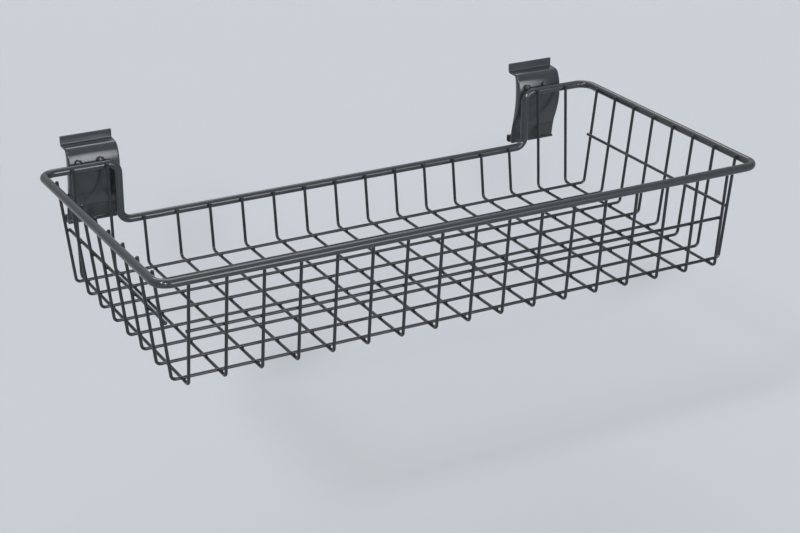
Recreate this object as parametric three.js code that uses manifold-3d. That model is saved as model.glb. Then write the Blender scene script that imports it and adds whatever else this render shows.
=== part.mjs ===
// Wall-hung wire storage basket: a rod rim with a dropped back rail, a grid of bent wires, two formed
// brackets that hook into a slotted wall panel, and a turning cam lock at the foot of each bracket.
// Millimetres. +X runs along the wall, +Y points into the wall and +Z is up. The origin lies midway
// between the brackets, on the wall face, at the height of the ledge that carries the hooks.
import * as THREE from 'three';
import { mergeVertices } from 'three/addons/utils/BufferGeometryUtils.js';
import Module from 'manifold-3d';

const wasm = await Module();
wasm.setup();

// Rim rod
const RIM_WIDTH = 610; // over the rod, along the wall
const RIM_DEPTH = 300; // over the rod, from the back rail to the front
const ROD_DIAMETER = 8;
const RIM_BELOW_HOOK = 15.2; // rod centre below the ledge that carries the hooks
const BACK_RAIL_DROP = 58.5; // back rail below the rest of the rim
const RIM_CORNER_RADIUS = 13; // at the rod's centre line
const DROP_BEND_RADIUS = 10; // at the rod's centre line, where the rim turns down and along again
const DROP_FROM_BRACKET_EDGE = 4.4; // centre of the falling rod, outward of the bracket's inner edge

// Wire grid
const WIRE_DIAMETER = 3;
const BASKET_HEIGHT = 102.8; // rim rod centre to the centre of the lowest wires
const SIDE_WALL_LEAN = 17.7; // side rod's centre, outward of the floor's corner
const FRONT_WALL_LEAN = 16.8; // front rod's centre, outward of the floor's corner
const BACK_WALL_LEAN = 11.6; // back rail's centre, outward of the floor's corner
const WIRE_BEND_RADIUS = 4.5; // at the wire's centre line
const WIRE_TIP_RISE = 3; // wire end above the centre of the back or side rod that it is welded to
const FRONT_TIP_RISE = 1.5; // and above the centre of the front rod
const CROSS_WIRES = 17;
const LONG_WIRES = 8;
const CROSS_WIRE_MARGIN = 7.4; // first cross wire from the end of the long wires' bend
const LONG_WIRE_BACK_MARGIN = 14.7; // first long wire from the end of the cross wires' back bend
const LONG_WIRE_FRONT_MARGIN = 5.2; // last long wire from the end of the cross wires' front bend
const FRONT_BAND_DROP = 52.5; // front band wire below the rim rod's centre
const SIDE_BAND_DROP = 46.3; // side band wires below the rim rod's centre
const BAND_OVERHANG = 1.4; // band wire past the centre of the last wire that it crosses
const WELD_GAP = 0.3; // between pieces that are welded together

// Bracket, formed from plate
const BRACKET_FROM_RIM_END = 58.5; // bracket's middle, from the end of the rim
const BRACKET_WIDTH = 50.8;
const PLATE = 2;
const TONGUE_RISE = 10; // tongue above the ledge
const TONGUE_SETBACK = 2.5; // front of the tongue behind the wall face
const SHELF_REACH = 8.5; // flat shelf ahead of the wall face
const BOW_REACH = 18.3; // front of the bow ahead of the wall face
const BOW_BELOW_RIM = 5.8; // foremost line of the bow below the rim rod's centre
const BOW_TOP_PULL = 6; // how far the bow's upper curve keeps to the shelf's direction
const BOW_UPPER_PULL = 12; // and to the upright at the foremost line
const BOW_LOWER_PULL = 15; // how far the bow's lower curve keeps to the upright
const BOW_FOOT_PULL = 10.2; // and to the slope that meets the lip
const BOW_FOOT_SLOPE = 0.49; // of that slope, outward for each millimetre upward
const LIP_TOP_REACH = 6.5; // top of the straight lower lip, ahead of the wall face
const LIP_TOP_DROP = 59.8; // and below the ledge
const LIP_LENGTH = 13.4; // top to foot of the lip, downward
const LIP_LEAN = 2.52; // foot of the lip behind its top
const HEM_REACH = 2; // hem along the lip's foot, ahead of the foot
const EDGE_DEPTH = 7; // turned back side edges, from the front of the bow
const EDGE_THICKNESS = 2;

// Cam lock
const PIN_RADIUS = 1.5;
const PIN_CLEARANCE = 0.3;
const PIN_HEAD_OVERHANG = 1.1;
const PIN_HEAD_LENGTH = 1.2;
const PIN_ABOVE_FOOT = 1; // pin axis above the lip's foot
const EAR_WALL = 2.2; // of the bracket's ears, round the pin
const EAR_THICKNESS = 2;
const EAR_INSET = 4.2; // ears inward of the bracket's side edges
const CAM_WALL = 2.2; // of the cam bar, round the pin
const CAM_CLEARANCE = 0.4; // between the cam bar and the lip
const CAM_NOSE_REACH = 8.5; // tip of the nose from the pin axis
const CAM_NOSE_THICKNESS = 2.6;
const KNOB_HEIGHT = 7.4;
const KNOB_DEPTH = 6.2;
const KNOB_THICKNESS = 3.6;
const KNOB_CORNER_RADIUS = 1.8; // keeps the turning knob clear of the lip
const KNOB_SOCKET_DEPTH = 1.4; // socket in the knob's outer end
const KNOB_SOCKET_WALL = 1.4;
const KNOB_WEB = 0.6; // between the socket and the pin's hole
const CAM_SIDE_GAP = 0.4; // between the turning pieces and the ears

// Facets
const ROD_SIDES = 12;
const WIRE_SIDES = 8;
const PIN_SIDES = 24;
const CORNER_STEPS = 5;
const DROP_STEPS = 4;
const WIRE_BEND_STEPS = 4;
const BOW_STEPS = 7;
const ARC_STEPS = 6;

// Places that follow from the sizes above
const rodRadius = ROD_DIAMETER / 2;
const wireRadius = WIRE_DIAMETER / 2;
const weldDistance = rodRadius + WELD_GAP + wireRadius;
const wireLayer = WIRE_DIAMETER + WELD_GAP;
const sideX = RIM_WIDTH / 2 - rodRadius;
const backY = -(BOW_REACH + WELD_GAP + rodRadius);
const frontY = backY - (RIM_DEPTH - ROD_DIAMETER);
const rimZ = -RIM_BELOW_HOOK;
const backRailZ = rimZ - BACK_RAIL_DROP;
const bracketX = RIM_WIDTH / 2 - BRACKET_FROM_RIM_END;
const dropX = bracketX - BRACKET_WIDTH / 2 + DROP_FROM_BRACKET_EDGE;
const crossZ = rimZ - BASKET_HEIGHT;
const longZ = crossZ + wireLayer;
const floorX = sideX - SIDE_WALL_LEAN;
const floorBackY = backY - BACK_WALL_LEAN;
const floorFrontY = frontY + FRONT_WALL_LEAN;
const bowZ = rimZ - BOW_BELOW_RIM;
const lipTop = new THREE.Vector2(-LIP_TOP_REACH, -LIP_TOP_DROP);
const lipFoot = new THREE.Vector2(lipTop.x + LIP_LEAN, lipTop.y - LIP_LENGTH);
const lipStretch = Math.hypot(LIP_LEAN, LIP_LENGTH) / LIP_LENGTH;
const boreRadius = PIN_RADIUS + PIN_CLEARANCE;
const camRadius = boreRadius + CAM_WALL;
const pinZ = lipFoot.y + PIN_ABOVE_FOOT;
const pinY = lipFrontAt(pinZ) + (PLATE + CAM_CLEARANCE + camRadius) * lipStretch;
const earX = BRACKET_WIDTH / 2 - EAR_INSET;

const PAINT = { color: 0x464b4e, roughness: 0.45, metalness: 0.3 };
const BLACK_PLASTIC = { color: 0x17181a, roughness: 0.55, metalness: 0 };
const ZINC = { color: 0x8f9296, roughness: 0.4, metalness: 0.9 };

// How far into the wall the front of the lower lip lies at a height.
function lipFrontAt(z) {
  return lipFoot.x - (LIP_LEAN / LIP_LENGTH) * (z - lipFoot.y);
}

function piece(name, geometry, finish) {
  const mesh = new THREE.Mesh(geometry, new THREE.MeshStandardMaterial(finish));
  mesh.name = name;
  return mesh;
}

// A line of straight runs joined by round bends. Its stations lie only at the ends of the runs and
// along the bends, so each straight run keeps long flat sides.
class BentLine extends THREE.Curve {
  constructor(corners, bends, closed = false) {
    super();
    this.closed = closed;
    this.points = [];
    this.tangents = [];
    const count = corners.length;
    corners.forEach((corner, index) => {
      const before = corners[(index + count - 1) % count];
      const after = corners[(index + 1) % count];
      const coming = corner.clone().sub(before).normalize();
      const going = after.clone().sub(corner).normalize();
      if (!closed && index === 0) {
        this.add(corner, going);
      } else if (!closed && index === count - 1) {
        this.add(corner, coming);
      } else {
        this.addBend(corner, coming, going, bends[index]);
      }
    });
  }

  add(point, tangent) {
    this.points.push(point.clone());
    this.tangents.push(tangent.clone());
  }

  addBend(corner, coming, going, bend) {
    const turn = coming.angleTo(going);
    const start = corner.clone().addScaledVector(coming, -bendReach(bend.radius, turn));
    const inward = going.clone().addScaledVector(coming, -going.dot(coming)).normalize();
    const centre = start.clone().addScaledVector(inward, bend.radius);
    for (let step = 0; step <= bend.steps; step += 1) {
      const angle = (turn * step) / bend.steps;
      const point = centre.clone();
      point.addScaledVector(inward, -bend.radius * Math.cos(angle));
      point.addScaledVector(coming, bend.radius * Math.sin(angle));
      const tangent = coming.clone().multiplyScalar(Math.cos(angle));
      this.add(point, tangent.addScaledVector(inward, Math.sin(angle)));
    }
  }

  get runs() {
    return this.closed ? this.points.length : this.points.length - 1;
  }

  stationAt(share) {
    return Math.round(share * this.runs) % this.points.length;
  }

  getPoint(share) {
    return this.points[this.stationAt(share)].clone();
  }

  getPointAt(share) {
    return this.getPoint(share);
  }

  getTangentAt(share) {
    return this.tangents[this.stationAt(share)].clone();
  }
}

// How far a bend of this radius and turn reaches along each run from the corner.
function bendReach(radius, turn) {
  return radius * Math.tan(turn / 2);
}

// A round bar along a line with two ends.
function bar(line, radius, sides) {
  const section = [];
  for (let side = 0; side < sides; side += 1) {
    const angle = (2 * Math.PI * side) / sides;
    section.push(new THREE.Vector2(radius * Math.cos(angle), radius * Math.sin(angle)));
  }
  return new THREE.ExtrudeGeometry(new THREE.Shape(section), { steps: line.runs, extrudePath: line });
}

// The direction of a basket wall's leg, as its outward and upward parts. The leg starts at a floor corner
// and passes just inside a rod that lies this far out and up from the corner.
function legDirection(outward, upward) {
  const distance = Math.hypot(outward, upward);
  const angle = Math.atan2(upward, outward) + Math.asin(weldDistance / distance);
  return { outward: Math.cos(angle), upward: Math.sin(angle), turn: angle };
}

// The upper end of a leg, as a place out and up from its floor corner.
function legTip(outward, upward, rise) {
  const direction = legDirection(outward, upward);
  const height = upward + rise;
  return { outward: (height * direction.outward) / direction.upward, upward: height };
}

// How far out from the floor corner a leg's centre lies at a height above the corner.
function legOutwardAt(outward, upward, height) {
  const direction = legDirection(outward, upward);
  return (height * direction.outward) / direction.upward;
}

const sideLeg = { outward: sideX - floorX, upward: rimZ - longZ };
const frontLeg = { outward: floorFrontY - frontY, upward: rimZ - crossZ };
const wireBend = { radius: WIRE_BEND_RADIUS, steps: WIRE_BEND_STEPS };

// The rim: one closed rod that drops to a lower rail between the brackets.
function makeRim() {
  const corner = { radius: RIM_CORNER_RADIUS, steps: CORNER_STEPS };
  const drop = { radius: DROP_BEND_RADIUS, steps: DROP_STEPS };
  const corners = [
    new THREE.Vector3(dropX, backY, backRailZ),
    new THREE.Vector3(dropX, backY, rimZ),
    new THREE.Vector3(sideX, backY, rimZ),
    new THREE.Vector3(sideX, frontY, rimZ),
    new THREE.Vector3(-sideX, frontY, rimZ),
    new THREE.Vector3(-sideX, backY, rimZ),
    new THREE.Vector3(-dropX, backY, rimZ),
    new THREE.Vector3(-dropX, backY, backRailZ),
  ];
  const line = new BentLine(corners, [drop, drop, corner, corner, corner, corner, drop, drop], true);
  return piece('rim_rod', new THREE.TubeGeometry(line, line.runs, rodRadius, ROD_SIDES, true), PAINT);
}

// A cross wire runs from the front rim down, along the floor and up to the back rail, or to the high part
// of the rim where the brackets stand.
function makeCrossWire(index) {
  const turn = legDirection(sideLeg.outward, sideLeg.upward).turn;
  const reach = floorX - bendReach(WIRE_BEND_RADIUS, turn) - CROSS_WIRE_MARGIN;
  const x = -reach + (2 * reach * index) / (CROSS_WIRES - 1);
  const railZ = Math.abs(x) > dropX ? rimZ : backRailZ;
  const front = legTip(frontLeg.outward, frontLeg.upward, FRONT_TIP_RISE);
  const back = legTip(backY - floorBackY, railZ - crossZ, WIRE_TIP_RISE);
  const corners = [
    new THREE.Vector3(0, floorFrontY - front.outward, crossZ + front.upward),
    new THREE.Vector3(0, floorFrontY, crossZ),
    new THREE.Vector3(0, floorBackY, crossZ),
    new THREE.Vector3(0, floorBackY + back.outward, crossZ + back.upward),
  ];
  const line = new BentLine(corners, [null, wireBend, wireBend, null]);
  const number = String(index + 1).padStart(2, '0');
  const wire = piece(`cross_wire_${number}`, bar(line, wireRadius, WIRE_SIDES), PAINT);
  wire.position.x = x;
  return wire;
}

// The places of the long wires, from the back to the front.
function longWirePlaces() {
  const backTurn = legDirection(backY - floorBackY, backRailZ - crossZ).turn;
  const frontTurn = legDirection(frontLeg.outward, frontLeg.upward).turn;
  const first = floorBackY - bendReach(WIRE_BEND_RADIUS, backTurn) - LONG_WIRE_BACK_MARGIN;
  const last = floorFrontY + bendReach(WIRE_BEND_RADIUS, frontTurn) + LONG_WIRE_FRONT_MARGIN;
  const places = [];
  for (let index = 0; index < LONG_WIRES; index += 1) {
    places.push(first + ((last - first) * index) / (LONG_WIRES - 1));
  }
  return places;
}

// A long wire runs from the left rim down, along the floor on the cross wires and up to the right rim.
function makeLongWire(index, y) {
  const tip = legTip(sideLeg.outward, sideLeg.upward, WIRE_TIP_RISE);
  const corners = [
    new THREE.Vector3(-floorX - tip.outward, 0, longZ + tip.upward),
    new THREE.Vector3(-floorX, 0, longZ),
    new THREE.Vector3(floorX, 0, longZ),
    new THREE.Vector3(floorX + tip.outward, 0, longZ + tip.upward),
  ];
  const line = new BentLine(corners, [null, wireBend, wireBend, null]);
  const wire = piece(`long_wire_${index + 1}`, bar(line, wireRadius, WIRE_SIDES), PAINT);
  wire.position.y = y;
  return wire;
}

function straightWire(name, start, end) {
  return piece(name, bar(new BentLine([start, end], []), wireRadius, WIRE_SIDES), PAINT);
}

// Band wires half way up the front and the two sides. They lie inside the legs that they cross, as the long
// wires lie on the cross wires.
function makeBandWires(crossWires, longPlaces) {
  const group = new THREE.Group();
  const frontZ = rimZ - FRONT_BAND_DROP;
  const front = legDirection(frontLeg.outward, frontLeg.upward);
  const frontOut = legOutwardAt(frontLeg.outward, frontLeg.upward, frontZ - crossZ);
  const frontBandY = floorFrontY - frontOut + wireLayer / front.upward;
  const frontEnd = crossWires[crossWires.length - 1].position.x + BAND_OVERHANG;
  const frontStart = crossWires[0].position.x - BAND_OVERHANG;
  group.add(straightWire(
    'front_band_wire',
    new THREE.Vector3(frontStart, frontBandY, frontZ),
    new THREE.Vector3(frontEnd, frontBandY, frontZ),
  ));
  const sideZ = rimZ - SIDE_BAND_DROP;
  const side = legDirection(sideLeg.outward, sideLeg.upward);
  const sideOut = legOutwardAt(sideLeg.outward, sideLeg.upward, sideZ - longZ);
  const sideBandX = floorX + sideOut - wireLayer / side.upward;
  const back = longPlaces[0] + BAND_OVERHANG;
  const ahead = longPlaces[longPlaces.length - 1] - BAND_OVERHANG;
  for (const [name, x] of [['left_band_wire', -sideBandX], ['right_band_wire', sideBandX]]) {
    group.add(straightWire(name, new THREE.Vector3(x, back, sideZ), new THREE.Vector3(x, ahead, sideZ)));
  }
  return group;
}

// Turns a shape drawn across the wall (out of it and up) into a solid that runs along the wall.
function alongWall(shape, start, length) {
  const geometry = new THREE.ExtrudeGeometry(shape, {
    depth: length,
    bevelEnabled: false,
    curveSegments: ARC_STEPS,
  });
  const intoWall = new THREE.Vector3(0, 1, 0);
  const upward = new THREE.Vector3(0, 0, 1);
  const alongX = new THREE.Vector3(1, 0, 0);
  geometry.applyMatrix4(new THREE.Matrix4().makeBasis(intoWall, upward, alongX));
  return geometry.translate(start, 0, 0);
}

function solid(geometry) {
  const plain = geometry.clone();
  plain.deleteAttribute('normal');
  plain.deleteAttribute('uv');
  const merged = mergeVertices(plain);
  return new wasm.Manifold(new wasm.Mesh({
    numProp: 3,
    vertProperties: new Float32Array(merged.attributes.position.array),
    triVerts: new Uint32Array(merged.index.array),
  }));
}

function surface(manifold) {
  const mesh = manifold.getMesh();
  const geometry = new THREE.BufferGeometry();
  geometry.setAttribute('position', new THREE.BufferAttribute(mesh.vertProperties, 3));
  geometry.setIndex(new THREE.BufferAttribute(mesh.triVerts, 1));
  geometry.computeVertexNormals();
  return geometry;
}

// Moves each point of an open outline to its left by a depth that may change along the outline.
function moveLeft(outline, depthAt) {
  return outline.map((point, index) => {
    const before = outline[Math.max(index - 1, 0)];
    const after = outline[Math.min(index + 1, outline.length - 1)];
    const coming = (index > 0 ? point.clone().sub(before) : after.clone().sub(point)).normalize();
    const going = (index < outline.length - 1 ? after.clone().sub(point) : coming.clone()).normalize();
    const leftComing = new THREE.Vector2(-coming.y, coming.x);
    const leftGoing = new THREE.Vector2(-going.y, going.x);
    const middle = leftComing.clone().add(leftGoing).normalize();
    const depth = depthAt(index / (outline.length - 1));
    return point.clone().addScaledVector(middle, depth / middle.dot(leftComing));
  });
}

function closedShape(outline, back) {
  return new THREE.Shape([...outline, ...back.slice().reverse()]);
}

// The front of the bow, from the shelf's front edge to the top of the lower lip.
function bowOutline() {
  const path = new THREE.Path();
  path.moveTo(-SHELF_REACH, PLATE);
  path.bezierCurveTo(
    -SHELF_REACH - BOW_TOP_PULL, PLATE,
    -BOW_REACH, bowZ + BOW_UPPER_PULL,
    -BOW_REACH, bowZ,
  );
  const footPull = new THREE.Vector2(-BOW_FOOT_SLOPE, 1).setLength(BOW_FOOT_PULL).add(lipTop);
  path.bezierCurveTo(-BOW_REACH, bowZ - BOW_LOWER_PULL, footPull.x, footPull.y, lipTop.x, lipTop.y);
  return path.getPoints(BOW_STEPS);
}

// An ear behind the lip, with a round end about the pin.
function earShape() {
  const radius = boreRadius + EAR_WALL;
  const intoPlate = (PLATE / 2) * lipStretch;
  const ear = new THREE.Shape();
  ear.moveTo(lipFrontAt(pinZ + radius) + intoPlate, pinZ + radius);
  ear.lineTo(lipFoot.x + intoPlate, lipFoot.y + intoPlate);
  ear.lineTo(pinY, pinZ - radius);
  ear.absarc(pinY, pinZ, radius, -Math.PI / 2, Math.PI / 2, false);
  return ear;
}

// The bracket: a formed plate with turned back side edges, a hem along its foot and two ears with holes for
// the cam's pin.
function makeBracket(name) {
  const bow = bowOutline();
  const front = [
    new THREE.Vector2(TONGUE_SETBACK, TONGUE_RISE),
    new THREE.Vector2(TONGUE_SETBACK, PLATE),
    ...bow,
    lipFoot,
    new THREE.Vector2(lipFoot.x - HEM_REACH, lipFoot.y),
  ];
  const half = BRACKET_WIDTH / 2;
  const plate = closedShape(front, moveLeft(front, () => PLATE));
  const edgeDepth = (share) => PLATE + (EDGE_DEPTH - PLATE) * Math.sin(Math.PI * share);
  const edge = closedShape(moveLeft(bow, () => PLATE / 2), moveLeft(bow, edgeDepth));
  let body = solid(alongWall(plate, -half, BRACKET_WIDTH));
  for (const [shape, outer, thickness] of [[edge, half, EDGE_THICKNESS], [earShape(), earX, EAR_THICKNESS]]) {
    body = body.add(solid(alongWall(shape, -outer, thickness)));
    body = body.add(solid(alongWall(shape, outer - thickness, thickness)));
  }
  body = body.subtract(solid(pinBore(-half, half)));
  return piece(name, surface(body), PAINT);
}

// A round bar on the pin's axis, as wide as the holes that the pin runs in.
function pinBore(start, end) {
  const bore = new THREE.CylinderGeometry(boreRadius, boreRadius, end - start, PIN_SIDES);
  return bore.rotateZ(-Math.PI / 2).translate((start + end) / 2, pinY, pinZ);
}

// The cam bar: a round bar on the pin with a nose that stands up behind the wall's lip.
function makeCamBar(name) {
  const noseFront = pinY + camRadius - CAM_NOSE_THICKNESS;
  const noseTipRadius = CAM_NOSE_THICKNESS / 2;
  const noseTipZ = pinZ + CAM_NOSE_REACH - noseTipRadius;
  const noseFootAngle = Math.acos((noseFront - pinY) / camRadius);
  const shape = new THREE.Shape();
  shape.moveTo(pinY - camRadius, pinZ);
  shape.absarc(pinY, pinZ, camRadius, Math.PI, 2 * Math.PI, false);
  shape.absarc(noseFront + noseTipRadius, noseTipZ, noseTipRadius, 0, Math.PI, false);
  shape.absarc(pinY, pinZ, camRadius, noseFootAngle, Math.PI, false);
  const hole = new THREE.Path();
  hole.absarc(pinY, pinZ, boreRadius, 0, 2 * Math.PI, false);
  shape.holes.push(hole);
  const start = -earX + EAR_THICKNESS + CAM_SIDE_GAP;
  return piece(name, alongWall(shape, start, -2 * start), BLACK_PLASTIC);
}

const knobInnerX = -earX - CAM_SIDE_GAP;
const knobOuterX = knobInnerX - KNOB_THICKNESS;
const pinHoleEndX = knobOuterX + KNOB_SOCKET_DEPTH + KNOB_WEB;

// The knob at the left end of the pin, outside the ear, with a socket in its outer end.
function makeCamKnob(name) {
  const halfDepth = KNOB_DEPTH / 2;
  const halfHeight = KNOB_HEIGHT / 2;
  const inset = KNOB_CORNER_RADIUS;
  const shape = new THREE.Shape();
  shape.moveTo(pinY + halfDepth, pinZ - halfHeight + inset);
  const corners = [[1, 1], [-1, 1], [-1, -1], [1, -1]];
  corners.forEach(([deep, high], quarter) => {
    const y = pinY + deep * (halfDepth - inset);
    const z = pinZ + high * (halfHeight - inset);
    shape.absarc(y, z, inset, (quarter * Math.PI) / 2, ((quarter + 1) * Math.PI) / 2, false);
  });
  const socketDepth = KNOB_DEPTH - 2 * KNOB_SOCKET_WALL;
  const socketHeight = KNOB_HEIGHT - 2 * KNOB_SOCKET_WALL;
  const socket = new THREE.BoxGeometry(2 * KNOB_SOCKET_DEPTH, socketDepth, socketHeight);
  socket.translate(knobOuterX, pinY, pinZ);
  const body = solid(alongWall(shape, knobOuterX, KNOB_THICKNESS))
    .subtract(solid(socket))
    .subtract(solid(pinBore(pinHoleEndX, knobInnerX + CAM_SIDE_GAP)));
  return piece(name, surface(body), BLACK_PLASTIC);
}

// The headed pin through ears and cam bar, from inside the knob to its head outside the right ear.
function makeCamPin(name) {
  const start = pinHoleEndX + PIN_CLEARANCE;
  const headStart = earX + CAM_SIDE_GAP;
  const headRadius = PIN_RADIUS + PIN_HEAD_OVERHANG;
  const profile = [
    new THREE.Vector2(0, start),
    new THREE.Vector2(PIN_RADIUS, start),
    new THREE.Vector2(PIN_RADIUS, headStart),
    new THREE.Vector2(headRadius, headStart),
    new THREE.Vector2(headRadius, headStart + PIN_HEAD_LENGTH),
    new THREE.Vector2(0, headStart + PIN_HEAD_LENGTH),
  ];
  const geometry = new THREE.LatheGeometry(profile, PIN_SIDES);
  geometry.rotateZ(-Math.PI / 2).translate(0, pinY, pinZ);
  return piece(name, geometry, ZINC);
}

function makeHanger(side, x) {
  const hanger = new THREE.Group();
  hanger.add(makeBracket(`${side}_bracket`));
  hanger.add(makeCamBar(`${side}_cam_bar`));
  hanger.add(makeCamKnob(`${side}_cam_knob`));
  hanger.add(makeCamPin(`${side}_cam_pin`));
  hanger.position.x = x;
  return hanger;
}

function makeBasket() {
  const basket = new THREE.Group();
  basket.add(makeRim());
  const crossWires = [];
  for (let index = 0; index < CROSS_WIRES; index += 1) {
    crossWires.push(makeCrossWire(index));
  }
  const longPlaces = longWirePlaces();
  basket.add(...crossWires);
  basket.add(...longPlaces.map((y, index) => makeLongWire(index, y)));
  basket.add(makeBandWires(crossWires, longPlaces));
  basket.add(makeHanger('left', -bracketX));
  basket.add(makeHanger('right', bracketX));
  return basket;
}

export default makeBasket();
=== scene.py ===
"""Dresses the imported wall-hung wire storage basket and sets a plain studio round it.

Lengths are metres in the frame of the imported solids: +X along the wall, +Y into the wall, +Z up. The
basket is rod, wire and plate, and its pieces are drawn as such pieces are formed: rod and wire are fed round
bends, and plate is folded.
"""

import logging
import math
from collections.abc import Callable
from dataclasses import dataclass, field, replace
from enum import Enum

import bmesh
import bpy
from bmesh.types import BMEdge, BMFace
from bpy.types import Material, Node, NodeSocket, NodeTree, Object
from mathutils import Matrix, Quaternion, Vector
from mathutils.geometry import interpolate_bezier


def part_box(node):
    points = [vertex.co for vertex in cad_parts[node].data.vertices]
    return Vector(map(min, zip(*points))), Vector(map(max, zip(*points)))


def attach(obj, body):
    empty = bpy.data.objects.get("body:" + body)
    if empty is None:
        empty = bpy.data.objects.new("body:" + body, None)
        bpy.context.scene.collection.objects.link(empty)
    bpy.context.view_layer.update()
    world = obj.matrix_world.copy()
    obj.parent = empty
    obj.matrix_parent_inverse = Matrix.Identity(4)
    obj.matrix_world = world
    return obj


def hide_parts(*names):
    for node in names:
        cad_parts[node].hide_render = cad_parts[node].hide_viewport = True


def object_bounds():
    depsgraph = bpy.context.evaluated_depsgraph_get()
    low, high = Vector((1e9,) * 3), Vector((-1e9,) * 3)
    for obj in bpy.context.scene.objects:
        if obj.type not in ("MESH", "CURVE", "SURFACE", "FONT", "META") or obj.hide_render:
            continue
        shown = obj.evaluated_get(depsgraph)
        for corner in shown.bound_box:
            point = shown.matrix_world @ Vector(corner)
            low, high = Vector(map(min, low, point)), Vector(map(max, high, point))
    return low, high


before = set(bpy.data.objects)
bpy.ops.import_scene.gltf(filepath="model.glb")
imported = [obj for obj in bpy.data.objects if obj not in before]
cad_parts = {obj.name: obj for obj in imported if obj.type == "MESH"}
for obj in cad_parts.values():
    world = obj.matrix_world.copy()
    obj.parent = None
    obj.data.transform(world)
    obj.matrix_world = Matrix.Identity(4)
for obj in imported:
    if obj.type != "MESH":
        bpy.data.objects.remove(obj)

CAD_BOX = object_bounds()
MM = 0.001
MERGE_DISTANCE = 0.002 * MM
PLACE_TOLERANCE = 0.01 * MM
END_RUN = 0.5 * MM
BEND_STEP = math.radians(7.5)
BEVEL_ANGLE = math.radians(40)
EDGE_SHADING = 35.0    # degrees, on formed and moulded shapes
LUMP_SHADING = 80.0    # degrees, on weld metal
FACING = 0.9    # the cosine from which a face looks towards a direction
LATHE_SIDES = 32
NOISE_LOW, NOISE_HIGH = 0.3, 0.7    # where most of a noise lies
ALONG = Vector((1, 0, 0))
INTO_WALL = Vector((0, 1, 0))
UP = Vector((0, 0, 1))

log = logging.getLogger("basket")


class Body(Enum):
    """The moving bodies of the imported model."""

    BASKET = "basket"
    LEFT_CAM = "left_cam"
    RIGHT_CAM = "right_cam"


class Slot(Enum):
    """The material slots of the record."""

    PAINT = "powder_coat"
    PLASTIC = "black_plastic"
    STEEL = "plated_steel"


class Side(Enum):
    """The two ends of the basket, as seen from the front."""

    LEFT = "left"
    RIGHT = "right"

    @property
    def cam(self) -> Body:
        """The body of the cam lock on this side."""
        return Body.LEFT_CAM if self is Side.LEFT else Body.RIGHT_CAM


def linear_colour(hex_colour: str) -> tuple[float, float, float, float]:
    """Turns an sRGB hex colour into a linear one.

    Args:
        hex_colour: The colour as "#rrggbb".

    Returns:
        Linear red, green, blue and an alpha of one.
    """
    channels = []
    for start in (1, 3, 5):
        value = int(hex_colour[start:start + 2], 16) / 255
        channels.append(value / 12.92 if value <= 0.04045 else ((value + 0.055) / 1.055) ** 2.4)
    return (*channels, 1.0)


def add_node(
    tree: NodeTree,
    kind: str,
    settings: dict | None = None,
    values: dict | None = None,
    links: dict | None = None,
) -> Node:
    """Adds one node to a tree.

    Args:
        tree: The material's or the world's tree.
        kind: The node's type.
        settings: The node's own properties.
        values: Fixed values of its input sockets.
        links: The output sockets that feed its input sockets.

    Returns:
        The new node.
    """
    node = tree.nodes.new(kind)
    for name, setting in (settings or {}).items():
        setattr(node, name, setting)
    for socket, value in (values or {}).items():
        node.inputs[socket].default_value = value
    for socket, source in (links or {}).items():
        tree.links.new(source, node.inputs[socket])
    return node


@dataclass(frozen=True)
class Finish:
    """A surface with slow clouds of colour, patches of gloss and a fine relief.

    The sizes are those of the real surface's marks. Where these are too fine for the render, they are drawn
    coarser, and the finish says so.
    """

    name: str
    slot: Slot
    colour: str
    cloud_colour: str
    cloud_size: float
    relief_size: float
    relief_height: float
    gloss_size: float
    smoothest: float
    roughest: float
    metallic: float = 0.0

    def material(self) -> Material:
        """Makes the finish's material, or finds it if it is made.

        Returns:
            The material.
        """
        if self.name in bpy.data.materials:
            return bpy.data.materials[self.name]
        material = bpy.data.materials.new(self.name)
        material.use_nodes = True
        tree = material.node_tree
        shader = tree.nodes["Principled BSDF"]
        shader.inputs["Metallic"].default_value = self.metallic
        place = add_node(tree, "ShaderNodeTexCoord").outputs["Object"]

        def noise(size: float, detail: float) -> NodeSocket:
            """Adds a noise whose marks have this size, and gives its strength."""
            values = {"Scale": 1 / size, "Detail": detail}
            return add_node(tree, "ShaderNodeTexNoise", {}, values, {"Vector": place}).outputs["Fac"]

        colours = {6: linear_colour(self.colour), 7: linear_colour(self.cloud_colour)}
        share = {0: noise(self.cloud_size, detail=3)}
        clouds = add_node(tree, "ShaderNodeMix", {"data_type": "RGBA"}, colours, share)
        tree.links.new(clouds.outputs[2], shader.inputs["Base Color"])
        spread = {"From Min": NOISE_LOW, "From Max": NOISE_HIGH}
        values = {**spread, "To Min": self.smoothest, "To Max": self.roughest}
        patches = {"Value": noise(self.gloss_size, detail=2)}
        gloss = add_node(tree, "ShaderNodeMapRange", {}, values, patches)
        tree.links.new(gloss.outputs["Result"], shader.inputs["Roughness"])
        values = {"Strength": 1.0, "Distance": self.relief_height}
        relief = add_node(tree, "ShaderNodeBump", {}, values, {"Height": noise(self.relief_size, detail=1)})
        tree.links.new(relief.outputs["Normal"], shader.inputs["Normal"])
        return material


# Baked powder on steel rod and plate: one even graphite grey with a satin gloss. The powder flows into a
# fine orange peel, really about 0.8 mm across, drawn at 2 mm so that it still breaks the highlights up.
POWDER_COAT = Finish(
    name="graphite_satin_powder_coat_on_steel",
    slot=Slot.PAINT,
    colour="#303538",
    cloud_colour="#383d40",
    cloud_size=20 * MM,
    relief_size=2 * MM,
    relief_height=0.008 * MM,
    gloss_size=7 * MM,
    smoothest=0.12,
    roughest=0.20,
)

# The same coat on the thin wires and their spot welds, with its colour darkened as painted shade for the
# shade that thin wires show.
PAINTED_SHADE_WIRE_COAT = replace(
    POWDER_COAT,
    name="graphite_satin_powder_coat_on_wire",
    colour="#1e2225",
    cloud_colour="#262a2d",
)

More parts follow.
